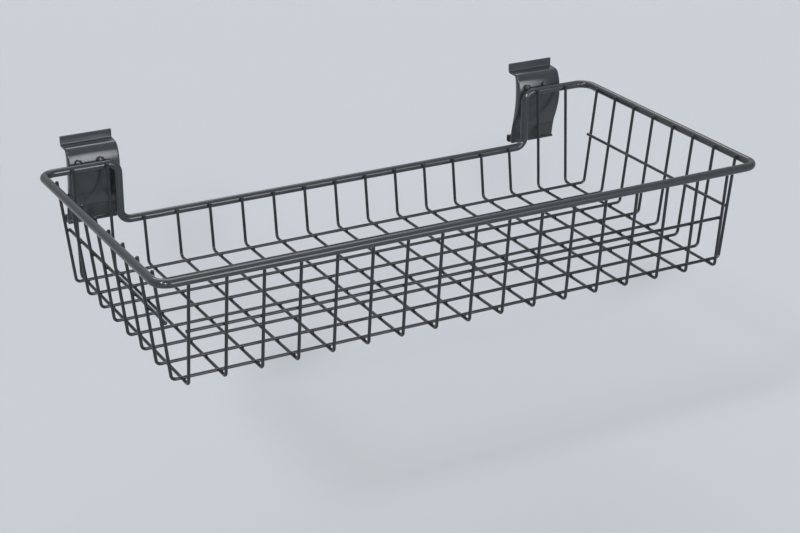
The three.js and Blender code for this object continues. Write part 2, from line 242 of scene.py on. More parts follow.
# Moulded nylon: black through and through and dull, with the fine spark-eroded grain of the mould, really
# about 0.1 mm, drawn at 0.5 mm.
BLACK_NYLON = Finish(
    name="black_moulded_nylon",
    slot=Slot.PLASTIC,
    colour="#0b0c0d",
    cloud_colour="#121314",
    cloud_size=5 * MM,
    relief_size=0.5 * MM,
    relief_height=0.01 * MM,
    gloss_size=2 * MM,
    smoothest=0.45,
    roughest=0.60,
)

# Zinc plate on a headed steel pin: pale bluish grey metal, clouded where the bath left it duller.
ZINC_PLATE = Finish(
    name="zinc_plated_steel",
    slot=Slot.STEEL,
    colour="#9a9da1",
    cloud_colour="#85888d",
    cloud_size=2 * MM,
    relief_size=0.4 * MM,
    relief_height=0.003 * MM,
    gloss_size=1.5 * MM,
    smoothest=0.28,
    roughest=0.42,
    metallic=1.0,
)


def deselect_all() -> None:
    """Leaves edit mode and deselects every object."""
    if bpy.context.object is not None and bpy.context.object.mode != "OBJECT":
        bpy.ops.object.mode_set(mode="OBJECT")
    bpy.ops.object.select_all(action="DESELECT")


def select_only(*pieces: Object) -> None:
    """Selects these objects alone and makes the first one active."""
    deselect_all()
    for piece in pieces:
        piece.select_set(True)
    bpy.context.view_layer.objects.active = pieces[0]


def settle_primitive(name: str) -> Object:
    """Names a primitive that was just added and puts its place into its mesh.

    Args:
        name: The piece's name.

    Returns:
        The primitive's object, at the origin.
    """
    piece = bpy.context.object
    piece.name = name
    bpy.ops.object.transform_apply(location=True, rotation=True, scale=True)
    return piece


def edit(piece: Object) -> None:
    """Opens a mesh in edit mode with all of it selected."""
    select_only(piece)
    bpy.ops.object.mode_set(mode="EDIT")
    bpy.ops.mesh.select_mode(type="VERT")
    bpy.ops.mesh.select_all(action="SELECT")


def select_parts(kind: str, test: Callable[[BMEdge | BMFace], bool]) -> None:
    """Selects the edges or the faces of the mesh in edit mode that pass a test.

    Args:
        kind: EDGE or FACE.
        test: Says of an edge or a face whether it is meant.
    """
    bpy.ops.mesh.select_all(action="DESELECT")
    bpy.ops.mesh.select_mode(type=kind)
    mesh = bmesh.from_edit_mesh(bpy.context.object.data)
    for part in mesh.edges if kind == "EDGE" else mesh.faces:
        part.select_set(test(part))
    mesh.select_flush_mode()
    bmesh.update_edit_mesh(bpy.context.object.data)


def close_up() -> None:
    """Merges the doubles of the mesh in edit mode, turns its faces outward and leaves edit mode."""
    bpy.ops.mesh.select_mode(type="VERT")
    bpy.ops.mesh.select_all(action="SELECT")
    bpy.ops.mesh.remove_doubles(threshold=MERGE_DISTANCE)
    bpy.ops.mesh.normals_make_consistent(inside=False)
    bpy.ops.object.mode_set(mode="OBJECT")


def smooth(piece: Object, angle: float = EDGE_SHADING) -> None:
    """Shades a piece smooth, apart from edges sharper than an angle in degrees."""
    select_only(piece)
    bpy.ops.object.shade_smooth_by_angle(angle=math.radians(angle))


def apply_modifier(piece: Object, kind: str, **settings: object) -> None:
    """Adds a modifier to a piece and applies it.

    Args:
        piece: The piece.
        kind: The modifier's type.
        settings: The modifier's properties.
    """
    select_only(piece)
    bpy.ops.object.modifier_add(type=kind)
    modifier = piece.modifiers[-1]
    for name, setting in settings.items():
        setattr(modifier, name, setting)
    bpy.ops.object.modifier_apply(modifier=modifier.name)


def soften_edges(piece: Object, radius: float, segments: int = 2) -> None:
    """Rounds the sharp edges of a finished shape.

    Args:
        piece: The piece.
        radius: The radius of the rounding.
        segments: The number of faces across it.
    """
    smooth(piece)
    apply_modifier(
        piece,
        "BEVEL",
        width=radius,
        segments=segments,
        limit_method="ANGLE",
        angle_limit=BEVEL_ANGLE,
        harden_normals=True,
    )


def cut_bore(piece: Object, centre: Vector, radius: float, length: float) -> None:
    """Cuts a round bore along the wall into a piece.

    Args:
        piece: The piece.
        centre: The bore's middle.
        radius: The bore's radius.
        length: The bore's length.
    """
    deselect_all()
    bpy.ops.mesh.primitive_cylinder_add(
        vertices=LATHE_SIDES, radius=radius, depth=length, location=centre, rotation=(0, math.pi / 2, 0))
    tool = settle_primitive("bore")
    apply_modifier(piece, "BOOLEAN", object=tool, operation="DIFFERENCE", solver="EXACT")
    bpy.data.objects.remove(tool)


def middle(node: str) -> Vector:
    """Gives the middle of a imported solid's box."""
    low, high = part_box(node)
    return (low + high) / 2


def copy_moved(piece: Object, name: str, shift: Vector) -> Object:
    """Copies a piece with a mesh of its own.

    Args:
        piece: The piece to copy.
        name: The copy's name.
        shift: The way from the piece to its copy.

    Returns:
        The copy.
    """
    select_only(piece)
    bpy.ops.object.duplicate(linked=False)
    bpy.ops.transform.translate(value=shift)
    return settle_primitive(name)


def hand_over(piece: Object, finish: Finish, body: Body, *nodes: str) -> None:
    """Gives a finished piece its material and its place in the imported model.

    Args:
        piece: The piece.
        finish: The surface that it has.
        body: The body that it moves with.
        nodes: The solids that it stands for.
    """
    piece.data.materials.clear()
    piece.data.materials.append(finish.material())
    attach(piece, body.value)
    if nodes:
        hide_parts(*nodes)
    log.info("%s: %d faces on %s", piece.name, len(piece.data.polygons), body.value)


class BendingBench:
    """A round section that is fed straight ahead and round bends, as rod and wire are formed.

    Each straight run has a short run at either end, so that the shading of a bend stays in the bend.
    """

    def __init__(self, name: str, start: Vector, heading: Vector, diameter: float, sides: int) -> None:
        """Clamps a ring of points, the section of a rod or wire.

        Args:
            name: The name of the piece that it becomes.
            start: The ring's centre.
            heading: The direction that the section is fed in.
            diameter: The rod's diameter.
            sides: The number of points.
        """
        deselect_all()
        turn = heading.to_track_quat("Z", "Y").to_euler()
        bpy.ops.mesh.primitive_circle_add(vertices=sides, radius=diameter / 2, location=start, rotation=turn)
        self.piece = settle_primitive(name)
        edit(self.piece)
        self.place = start.copy()
        self.heading = heading.normalized()

    def feed(self, distance: float) -> None:
        """Feeds the section straight ahead.

        Args:
            distance: The length of the run.
        """
        runs = [distance]
        if distance > 4 * END_RUN:
            runs = [END_RUN, distance - 2 * END_RUN, END_RUN]
        for run in runs:
            bpy.ops.mesh.extrude_region_move(TRANSFORM_OT_translate={"value": self.heading * run})
        self.place += self.heading * distance

    def bend(self, heading: Vector, radius: float) -> None:
        """Turns the section round a bend.

        Args:
            heading: The direction after the bend.
            radius: The radius of the line that is followed.
        """
        heading = heading.normalized()
        angle = self.heading.angle(heading)
        inward = (heading - self.heading * heading.dot(self.heading)).normalized()
        centre = self.place + inward * radius
        axis = self.heading.cross(heading).normalized()
        steps = max(2, math.ceil(angle / BEND_STEP))
        bpy.ops.mesh.spin(steps=steps, angle=-angle, center=centre, axis=axis)
        self.place = centre + Quaternion(axis, angle) @ (self.place - centre)
        self.heading = heading

    def follow(self, corners: list[Vector], radii: list[float]) -> None:
        """Follows a line of straight runs with a bend at each inner corner.

        Args:
            corners: The corners after the start, and the line's end.
            radii: The radius of each bend.
        """
        for corner, after, radius in zip(corners, corners[1:], radii):
            heading = (after - corner).normalized()
            reach = radius * math.tan(self.heading.angle(heading) / 2)
            self.feed((corner - self.place).length - reach)
            self.bend(heading, radius)
        self.feed((corners[-1] - self.place).length)


def rounded_line(corners: list[Vector], radii: list[float]) -> list[Vector]:
    """Rounds the inner corners of a line of straight runs, with a point on each run close to its bends.

    Args:
        corners: The line's two ends, and the corners between them.
        radii: The radius at each corner between them.

    Returns:
        The points of the line.
    """
    points = [corners[0]]
    for before, corner, after, radius in zip(corners, corners[1:], corners[2:], radii):
        coming, going = (corner - before).normalized(), (after - corner).normalized()
        inward = (going - coming * going.dot(coming)).normalized()
        turn = coming.angle(going)
        start = corner - coming * radius * math.tan(turn / 2)
        points.append(start - coming * END_RUN)
        steps = max(2, math.ceil(turn / BEND_STEP))
        for step in range(steps + 1):
            angle = turn * step / steps
            points.append(start + (coming * math.sin(angle) + inward * (1 - math.cos(angle))) * radius)
        points.append(points[-1] + going * END_RUN)
    return [*points, corners[-1]]


def set_back(line: list[Vector], depths: list[float]) -> list[Vector]:
    """Moves the points of a plate's front line square to it, towards the plate's back.

    Args:
        line: The front line, from its top.
        depths: How far each point is moved.

    Returns:
        The moved points.
    """
    headings = [(end - start).normalized() for start, end in zip(line, line[1:])]
    moved = []
    for point, before, after, depth in zip(line, [headings[0], *headings], [*headings, headings[-1]], depths):
        square = ALONG.cross((before + after).normalized())
        moved.append(point + square * depth / square.dot(ALONG.cross(after)))
    return moved


def runs_along(line: list[Vector]) -> Callable[[BMEdge], bool]:
    """Makes the test for a bar's edges that run along a line of its outline.

    Args:
        line: The points of the line.

    Returns:
        The test of an edge.
    """
    def on_line(point: Vector) -> bool:
        """Says whether a point lies on the line, wherever along the wall."""
        return any((point - place).yz.length < PLACE_TOLERANCE for place in line)

    def follows(edge: BMEdge) -> bool:
        """Says whether an edge joins two points of the line at one place along the wall."""
        start, end = (vertex.co for vertex in edge.verts)
        return abs(start.x - end.x) < PLACE_TOLERANCE and on_line(start) and on_line(end)

    return follows


class Outline:
    """A closed line, drawn point by point in a plane across the wall, that becomes a bar along the wall."""

    ARC_STEP = math.radians(10)

    def __init__(self, name: str, *points: Vector) -> None:
        """Sets the pencil down and draws straight lines.

        Args:
            name: The name of the piece that it becomes.
            points: The first point, and those that lines are drawn to.
        """
        deselect_all()
        bpy.ops.mesh.primitive_plane_add(size=MM, location=points[0])
        self.piece = settle_primitive(name)
        edit(self.piece)
        bpy.ops.mesh.merge(type="CENTER")
        self.place = points[0].copy()
        for point in points[1:]:
            self.line_to(point)

    def line_to(self, point: Vector) -> None:
        """Draws a straight line to a point."""
        bpy.ops.mesh.extrude_region_move(TRANSFORM_OT_translate={"value": point - self.place})
        self.place = point.copy()

    def arc(self, centre: Vector, angle: float) -> None:
        """Draws an arc about a centre.

        Args:
            centre: The arc's centre.
            angle: The turn about the wall's direction, from into the wall towards up.
        """
        start = self.place - centre
        steps = max(2, math.ceil(abs(angle) / self.ARC_STEP))
        for step in range(1, steps + 1):
            self.line_to(centre + Quaternion(ALONG, angle * step / steps) @ start)

    def draw_out(self, length: float) -> Object:
        """Fills the outline and draws it out along the wall.

        Args:
            length: The bar's length.

        Returns:
            The bar.
        """
        bpy.ops.mesh.select_all(action="SELECT")
        bpy.ops.mesh.remove_doubles(threshold=MERGE_DISTANCE)
        bpy.ops.mesh.edge_face_add()
        bpy.ops.mesh.extrude_region_move(TRANSFORM_OT_translate={"value": ALONG * length})
        close_up()
        return self.piece

    def turn(self, centre: Vector) -> Object:
        """Turns the outline about an axis along the wall, as on a lathe.

        Args:
            centre: A point on the axis.

        Returns:
            The turned piece.
        """
        bpy.ops.mesh.select_all(action="SELECT")
        bpy.ops.mesh.spin(steps=LATHE_SIDES, angle=2 * math.pi, center=centre, axis=ALONG)
        close_up()
        return self.piece


def draw_bar(name: str, points: list[Vector], start: float, length: float) -> Object:
    """Draws a bar along the wall from the points of its outline.

    Args:
        name: The bar's name.
        points: The outline.
        start: The bar's left end, from the outline.
        length: The bar's length.

    Returns:
        The bar.
    """
    return Outline(name, *(point + ALONG * start for point in points)).draw_out(length)


@dataclass
class RimRod:
    """The rim: one closed round rod that drops to a lower rail between the brackets."""

    diameter: float = 8.0 * MM
    corner_radius: float = 13 * MM
    drop_radius: float = 10 * MM
    drop_from_bracket_edge: float = 4.4 * MM
    sides: int = 40
    pieces: list[Object] = field(default_factory=list)

    def __post_init__(self) -> None:
        """Reads the rod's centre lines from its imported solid."""
        low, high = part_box("rim_rod")
        radius = self.diameter / 2
        self.side_x = high.x - radius
        self.front_y = low.y + radius
        self.back_y = high.y - radius
        self.rim_z = high.z - radius
        self.rail_z = low.z + radius
        self.drop_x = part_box("right_bracket")[0].x + self.drop_from_bracket_edge

    def build(self) -> None:
        """Bends the rod round, from the middle of the back rail to where it began."""
        start = Vector((0, self.back_y, self.rail_z))
        half = [
            Vector((self.drop_x, self.back_y, self.rail_z)),
            Vector((self.drop_x, self.back_y, self.rim_z)),
            Vector((self.side_x, self.back_y, self.rim_z)),
            Vector((self.side_x, self.front_y, self.rim_z)),
        ]
        other_half = [Vector((-corner.x, corner.y, corner.z)) for corner in reversed(half)]
        half_radii = [self.drop_radius] * 2 + [self.corner_radius] * 2
        bench = BendingBench("painted_rim_rod", start, ALONG, self.diameter, self.sides)
        bench.follow([*half, *other_half, start], [*half_radii, *reversed(half_radii)])
        close_up()
        smooth(bench.piece)
        self.pieces.append(bench.piece)

    def dress(self) -> None:
        """Paints the rod and sets it on the basket."""
        hand_over(self.pieces[0], POWDER_COAT, Body.BASKET, "rim_rod")


@dataclass(frozen=True)
class WallLeg:
    """A wire's leg up a wall of the basket, from a corner of the floor to just inside a rod."""

    outward: float
    upward: float
    weld_distance: float

    @property
    def slope(self) -> float:
        """How far out the leg goes for each metre up."""
        reach = math.hypot(self.outward, self.upward)
        return 1 / math.tan(math.atan2(self.upward, self.outward) + math.asin(self.weld_distance / reach))

    @property
    def facing(self) -> tuple[float, float]:
        """The unit direction into the basket and up, square to the leg."""
        length = math.hypot(1, self.slope)
        return 1 / length, self.slope / length


@dataclass
class WireGrid:
    """The basket's wires: bent cross wires and long wires, and a straight band on three walls."""

    rim: RimRod
    diameter: float = 3.0 * MM
    bend_radius: float = 4.5 * MM
    tip_rise: float = 3 * MM
    front_tip_rise: float = 1.5 * MM
    weld_gap: float = 0.3 * MM
    side_lean: float = 17.7 * MM
    front_lean: float = 16.8 * MM
    back_lean: float = 11.6 * MM
    cut_edge: float = 0.8 * MM
    sides: int = 20
    pieces: dict[str, Object] = field(default_factory=dict)

    def __post_init__(self) -> None:
        """Works out the floor's corners and the walls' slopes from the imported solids."""
        radius = self.diameter / 2
        self.layer = self.diameter + self.weld_gap
        self.cross_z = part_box("cross_wire_01")[0].z + radius
        self.long_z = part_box("long_wire_1")[0].z + radius
        self.cross_nodes = sorted(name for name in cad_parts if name.startswith("cross_wire"))
        self.long_nodes = sorted(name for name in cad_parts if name.startswith("long_wire"))
        self.floor_x = self.rim.side_x - self.side_lean
        self.floor_front_y = self.rim.front_y + self.front_lean
        self.floor_back_y = self.rim.back_y - self.back_lean
        rise = self.rim.rim_z - self.cross_z
        self.front_leg = self.leg(self.front_lean, rise)
        self.high_back_leg = self.leg(self.back_lean, rise)
        self.low_back_leg = self.leg(self.back_lean, self.rim.rail_z - self.cross_z)
        self.side_leg = self.leg(self.side_lean, self.rim.rim_z - self.long_z)

    def leg(self, outward: float, upward: float) -> WallLeg:
        """Makes a leg that passes just inside a rod this far out and up from the floor's corner."""
        return WallLeg(outward, upward, (self.rim.diameter + self.diameter) / 2 + self.weld_gap)

    def wire(self, name: str, corners: list[Vector]) -> Object:
        """Bends one wire and cuts its ends off square, with the burr taken off.

        Args:
            name: The wire's name.
            corners: Its two ends, and the corners between them.

        Returns:
            The wire.
        """
        bench = BendingBench(name, corners[0], corners[1] - corners[0], self.diameter, self.sides)
        bench.follow(corners[1:], [self.bend_radius] * (len(corners) - 2))
        bpy.ops.mesh.select_all(action="SELECT")
        bpy.ops.mesh.fill_holes(sides=0)
        bpy.ops.mesh.select_all(action="DESELECT")
        bpy.ops.mesh.select_mode(type="FACE")
        bpy.ops.mesh.select_face_by_sides(number=self.sides, type="EQUAL")
        bpy.ops.mesh.region_to_loop()
        bpy.ops.mesh.bevel(offset=self.cut_edge, segments=3)
        close_up()
        smooth(bench.piece)
        return bench.piece

    def cross_wire(self, name: str, x: float, back: WallLeg) -> Object:
        """Bends a cross wire: down the front, along the floor and up the back."""
        front_rise = self.front_leg.upward + self.front_tip_rise
        back_rise = back.upward + self.tip_rise
        front_y = self.floor_front_y - self.front_leg.slope * front_rise
        back_y = self.floor_back_y + back.slope * back_rise
        return self.wire(name, [
            Vector((x, front_y, self.cross_z + front_rise)),
            Vector((x, self.floor_front_y, self.cross_z)),
            Vector((x, self.floor_back_y, self.cross_z)),
            Vector((x, back_y, self.cross_z + back_rise)),
        ])

    def long_wire(self, name: str, y: float) -> Object:
        """Bends a long wire: down the left side, along the floor and up the right side."""
        rise = self.side_leg.upward + self.tip_rise
        tip_x = self.floor_x + self.side_leg.slope * rise
        return self.wire(name, [
            Vector((-tip_x, y, self.long_z + rise)),
            Vector((-self.floor_x, y, self.long_z)),
            Vector((self.floor_x, y, self.long_z)),
            Vector((tip_x, y, self.long_z + rise)),
        ])

    def build(self) -> None:
        """Bends one wire of each kind and copies it to the places of the others."""
        models: dict[WallLeg, str] = {}
        for node in self.cross_nodes:
            x = middle(node).x
            back = self.high_back_leg if abs(x) > self.rim.drop_x else self.low_back_leg
            model = models.setdefault(back, node)
            if model == node:
                self.pieces[node] = self.cross_wire(f"painted_{node}", x, back)
            else:
                shift = ALONG * (x - middle(model).x)
                self.pieces[node] = copy_moved(self.pieces[model], f"painted_{node}", shift)
        first = self.long_nodes[0]
        first_y = middle(first).y
        self.pieces[first] = self.long_wire(f"painted_{first}", first_y)
        for node in self.long_nodes[1:]:
            shift = INTO_WALL * (middle(node).y - first_y)
            self.pieces[node] = copy_moved(self.pieces[first], f"painted_{node}", shift)
        for node, direction in (("front_band_wire", ALONG), ("left_band_wire", INTO_WALL),
                                ("right_band_wire", INTO_WALL)):
            low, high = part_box(node)
            half = direction * (high - low).dot(direction) / 2
            self.pieces[node] = self.wire(f"painted_{node}", [middle(node) - half, middle(node) + half])

    def dress(self) -> None:
        """Paints the wires in the coat darkened as painted shade, and sets them on the basket."""
        for node, piece in self.pieces.items():
            hand_over(piece, PAINTED_SHADE_WIRE_COAT, Body.BASKET, node)


@dataclass(frozen=True)
class WeldRow:
    """Spot welds in even rows: the first one's place and facing, and the steps to the others."""

    name: str
    place: Vector
    facing: Vector
    counts: tuple[int, ...]
    steps: tuple[Vector, ...]


@dataclass
class SpotWelds:
    """The squeezed metal between crossing wires, and between wire ends and the rods."""

    grid: WireGrid
    diameter: float = 3.3 * MM
    thickness: float = 1.6 * MM
    unevenness: float = 0.12 * MM
    unevenness_seed: int = 3
    pieces: list[Object] = field(default_factory=list)

    def rows(self) -> list[WeldRow]:
        """Works out the rows of welds from the wires' places.

        Returns:
            The rows.
        """
        grid, rim = self.grid, self.grid.rim
        xs = [middle(node).x for node in grid.cross_nodes]
        ys = [middle(node).y for node in grid.long_nodes]
        x_step = ALONG * (xs[1] - xs[0])
        y_step = INTO_WALL * (ys[1] - ys[0])
        floor = Vector((xs[0], ys[0], (grid.cross_z + grid.long_z) / 2))
        rows = [WeldRow("floor", floor, UP, (len(xs), len(ys)), (x_step, y_step))]

        low = sum(abs(x) < rim.drop_x for x in xs)
        high = (len(xs) - low) // 2
        reach = rim.diameter / 2 + grid.weld_gap / 2
        front = (xs[0], rim.front_y, rim.rim_z)
        left_back = (xs[0], rim.back_y, rim.rim_z)
        rail = (xs[high], rim.back_y, rim.rail_z)
        right_back = (xs[high + low], rim.back_y, rim.rim_z)
        left, right = ((x, ys[0], rim.rim_z) for x in (-rim.side_x, rim.side_x))
        for name, rod, leg, inward, count, step, band in (
            ("front_rim", front, grid.front_leg, INTO_WALL, len(xs), x_step, "front_band"),
            ("left_back_rim", left_back, grid.high_back_leg, -INTO_WALL, high, x_step, None),
            ("back_rail", rail, grid.low_back_leg, -INTO_WALL, low, x_step, None),
            ("right_back_rim", right_back, grid.high_back_leg, -INTO_WALL, high, x_step, None),
            ("left_rim", left, grid.side_leg, ALONG, len(ys), y_step, "left_band"),
            ("right_rim", right, grid.side_leg, -ALONG, len(ys), y_step, "right_band"),
        ):
            facing = inward * leg.facing[0] + UP * leg.facing[1]
            rows.append(WeldRow(name, Vector(rod) + facing * reach, facing, (count,), (step,)))
            if band:
                place = middle(f"{band}_wire") - step * (count - 1) / 2 - facing * grid.layer / 2
                rows.append(WeldRow(band, place, facing, (count,), (step,)))
        return rows

    def build(self) -> None:
        """Shapes one weld of each row and repeats it along the row."""
        for row in self.rows():
            deselect_all()
            bpy.ops.mesh.primitive_uv_sphere_add(
                segments=10, ring_count=6, radius=self.diameter / 2,
                location=row.place, rotation=row.facing.to_track_quat("Z", "Y").to_euler(),
                scale=(1, 1, self.thickness / self.diameter))
            piece = settle_primitive(f"painted_{row.name}_welds")
            edit(piece)
            bpy.ops.transform.vertex_random(
                offset=self.unevenness, uniform=1.0, normal=0.0, seed=self.unevenness_seed)
            bpy.ops.object.mode_set(mode="OBJECT")
            for count, step in zip(row.counts, row.steps):
                apply_modifier(
                    piece,
                    "ARRAY",
                    count=count,
                    use_relative_offset=False,
                    use_constant_offset=True,
                    constant_offset_displace=step,
                )
            smooth(piece, LUMP_SHADING)
            self.pieces.append(piece)

    def dress(self) -> None:
        """Paints the welds in the coat darkened as painted shade, and sets them on the basket."""
        for piece in self.pieces:
            hand_over(piece, PAINTED_SHADE_WIRE_COAT, Body.BASKET)


@dataclass
class Bracket:
    """A hanger of formed plate: tongue, shelf, bow with turned back edges, hemmed lip and two ears.

    A weld bead is three lumps, given by their steps along the bead and their sizes in bead radii. Its setting
    is how far it lies behind and above the middle of the rod, in rod diameters.
    """

    side: Side
    rim: RimRod
    plate: float = 2 * MM
    tongue_setback: float = 2.5 * MM
    corner_radius: float = 1.2 * MM
    shelf_reach: float = 8.5 * MM
    bow_reach: float = 18.3 * MM
    bow_below_rim: float = 5.8 * MM
    bow_pulls: tuple[float, float, float, float] = (6 * MM, 12 * MM, 15 * MM, 10.2 * MM)
    bow_foot_slope: float = 0.49
    bow_steps: int = 16
    lip_top_reach: float = 6.5 * MM
    lip_top_drop: float = 59.8 * MM
    lip_length: float = 13.4 * MM
    lip_lean: float = 2.52 * MM
    crease_radius: float = 1.5 * MM
    hem_reach: float = 2 * MM
    hem_radius: float = 1 * MM
    edge_depth: float = 7 * MM
    edge_radius: float = 1.7 * MM
    seam: float = 0.02 * MM
    ear_radius: float = 4 * MM
    ear_inset: float = 4.2 * MM
    bore_radius: float = 1.8 * MM
    sheared_edge: float = 0.3 * MM
    weld_places: tuple[float, float] = (-16 * MM, 6 * MM)
    weld_width: float = 6.8 * MM
    weld_lumps: tuple[tuple[float, float], ...] = ((-0.45, 0.8), (0.0, 1.0), (0.45, 0.85))
    weld_shape: tuple[float, float, float] = (0.7, 0.72, 0.95)
    weld_setting: tuple[float, float] = (0.38, 0.54)
    weld_grain: float = 0.3 * MM
    pieces: list[Object] = field(default_factory=list)

    def __post_init__(self) -> None:
        """Reads the bracket's box and the pin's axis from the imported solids, and places the lip's front."""
        self.node = f"{self.side.value}_bracket"
        low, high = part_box(self.node)
        self.middle_x = (low.x + high.x) / 2
        self.width = high.x - low.x
        self.top_z = high.z
        self.pin = middle(f"{self.side.value}_cam_pin")
        self.lip_top = self.at(-self.lip_top_reach, -self.lip_top_drop)
        self.lip_foot = self.lip_top + Vector((0, self.lip_lean, -self.lip_length))

    def at(self, y: float, z: float) -> Vector:
        """Gives a point on the bracket's middle plane."""
        return Vector((self.middle_x, y, z))

    def bow(self) -> list[Vector]:
        """Draws the front of the bow, from the shelf's front edge to the top of the lip.

        Returns:
            The points of the bow's curve.
        """
        top_pull, upper_pull, lower_pull, foot_pull = self.bow_pulls
        start = self.at(-self.shelf_reach, self.plate)
        foremost = self.at(-self.bow_reach, self.rim.rim_z - self.bow_below_rim)
        foot_slope = Vector((0, -self.bow_foot_slope, 1)).normalized()
        upper = interpolate_bezier(
            start, start - INTO_WALL * top_pull, foremost + UP * upper_pull, foremost, self.bow_steps)
        lower = interpolate_bezier(
            foremost, foremost - UP * lower_pull, self.lip_top + foot_slope * foot_pull, self.lip_top,
            self.bow_steps)
        return [*upper, *lower[1:]]

    def front_line(self) -> list[Vector]:
        """Draws the plate's front, from the tongue's top down to the hem.

        Returns:
            The points of the line.
        """
        bow = self.bow()
        tongue = [self.at(self.tongue_setback, self.top_z), self.at(self.tongue_setback, self.plate), bow[0]]
        foot = [bow[-2], self.lip_top, self.lip_foot, self.lip_foot - INTO_WALL * self.hem_reach]
        return [
            *rounded_line(tongue, [self.corner_radius]),
            *bow[1:-2],
            *rounded_line(foot, [self.crease_radius, self.hem_radius]),
        ]

    def form_plate(self) -> Object:
        """Forms the plate and rounds the folds at the bow's two sides.

        Returns:
            The plate.
        """
        front = self.front_line()
        back = set_back(front, [self.plate] * len(front))
        piece = draw_bar(f"painted_{self.node}", [*front, *reversed(back)], -self.width / 2, self.width)
        edit(piece)
        select_parts("EDGE", runs_along(self.bow()))
        bpy.ops.mesh.bevel(offset=self.edge_radius, segments=5)
        close_up()
        soften_edges(piece, self.sheared_edge)
        return piece

    def turned_edge(self, start: float) -> Object:
        """Draws an edge that turns back behind a side of the bow, deepest half way down.

        Args:
            start: The edge's left face, from the bracket's middle.

        Returns:
            The edge.
        """
        bow = self.bow()
        shares = [index / (len(bow) - 1) for index in range(len(bow))]
        rise = self.edge_depth - self.plate
        fold = set_back(bow, [self.edge_radius] * len(bow))
        back = set_back(bow, [self.plate + rise * math.sin(math.pi * share) for share in shares])
        piece = draw_bar("turned_edge", [*fold, *reversed(back)], start, self.plate)
        edit(piece)
        select_parts("EDGE", runs_along(back))
        bpy.ops.mesh.bevel(offset=self.sheared_edge, segments=2)
        close_up()
        smooth(piece)
        return piece

    def ear(self, start: float) -> Object:
        """Draws an ear that stands behind the lip, and bores it for the pin.

        Args:
            start: The ear's left face, from the bracket's middle.

        Returns:
            The ear.
        """
        lip = (self.lip_foot - self.lip_top).normalized()
        into_plate = ALONG.cross(lip) * self.plate / 2 + ALONG * start
        centre = self.at(self.pin.y, self.pin.z) + ALONG * start
        outline = Outline("ear", self.lip_foot + into_plate - lip * self.plate / 2)
        outline.line_to(centre - UP * self.ear_radius)
        outline.arc(centre, math.pi)
        outline.line_to(self.lip_foot + into_plate - lip * (self.pin.z + self.ear_radius - self.lip_foot.z))
        piece = outline.draw_out(self.plate)
        cut_bore(piece, self.pin, self.bore_radius, 2 * self.width)
        soften_edges(piece, self.sheared_edge)
        return piece

    def build(self) -> None:
        """Forms the plate, sets its turned edges and ears on it, and welds it to the rim."""
        side = self.width / 2 - self.seam
        ear = self.width / 2 - self.ear_inset
        piece = self.form_plate()
        edges = [self.turned_edge(-side), self.turned_edge(side - self.plate)]
        ears = [self.ear(-ear), self.ear(ear - self.plate)]
        select_only(piece, *edges, *ears)
        bpy.ops.object.join()
        self.pieces = [piece, self.weld_beads()]

    def weld_beads(self) -> Object:
        """Lays two short beads in the groove between the rim rod and the bow.

        Returns:
            The beads, as one piece.
        """
        beads = []
        radius = self.weld_width / 2
        behind, above = self.weld_setting
        for place in self.weld_places:
            for step, size in self.weld_lumps:
                deselect_all()
                centre = Vector((
                    self.middle_x + place + step * radius,
                    self.rim.back_y + self.rim.diameter * behind,
                    self.rim.rim_z + self.rim.diameter * above,
                ))
                bpy.ops.mesh.primitive_uv_sphere_add(
                    segments=20, ring_count=12, radius=radius * size, location=centre, scale=self.weld_shape)
                beads.append(settle_primitive("bead"))
        select_only(*beads)
        bpy.ops.object.join()
        piece = settle_primitive(f"painted_{self.node}_welds")
        apply_modifier(piece, "REMESH", mode="VOXEL", voxel_size=self.weld_grain)
        apply_modifier(piece, "SMOOTH", factor=0.5, iterations=4)
        smooth(piece, LUMP_SHADING)
        return piece

    def dress(self) -> None:
        """Paints the bracket and its welds and sets them on the basket."""
        hand_over(self.pieces[0], POWDER_COAT, Body.BASKET, self.node)
        hand_over(self.pieces[1], POWDER_COAT, Body.BASKET)


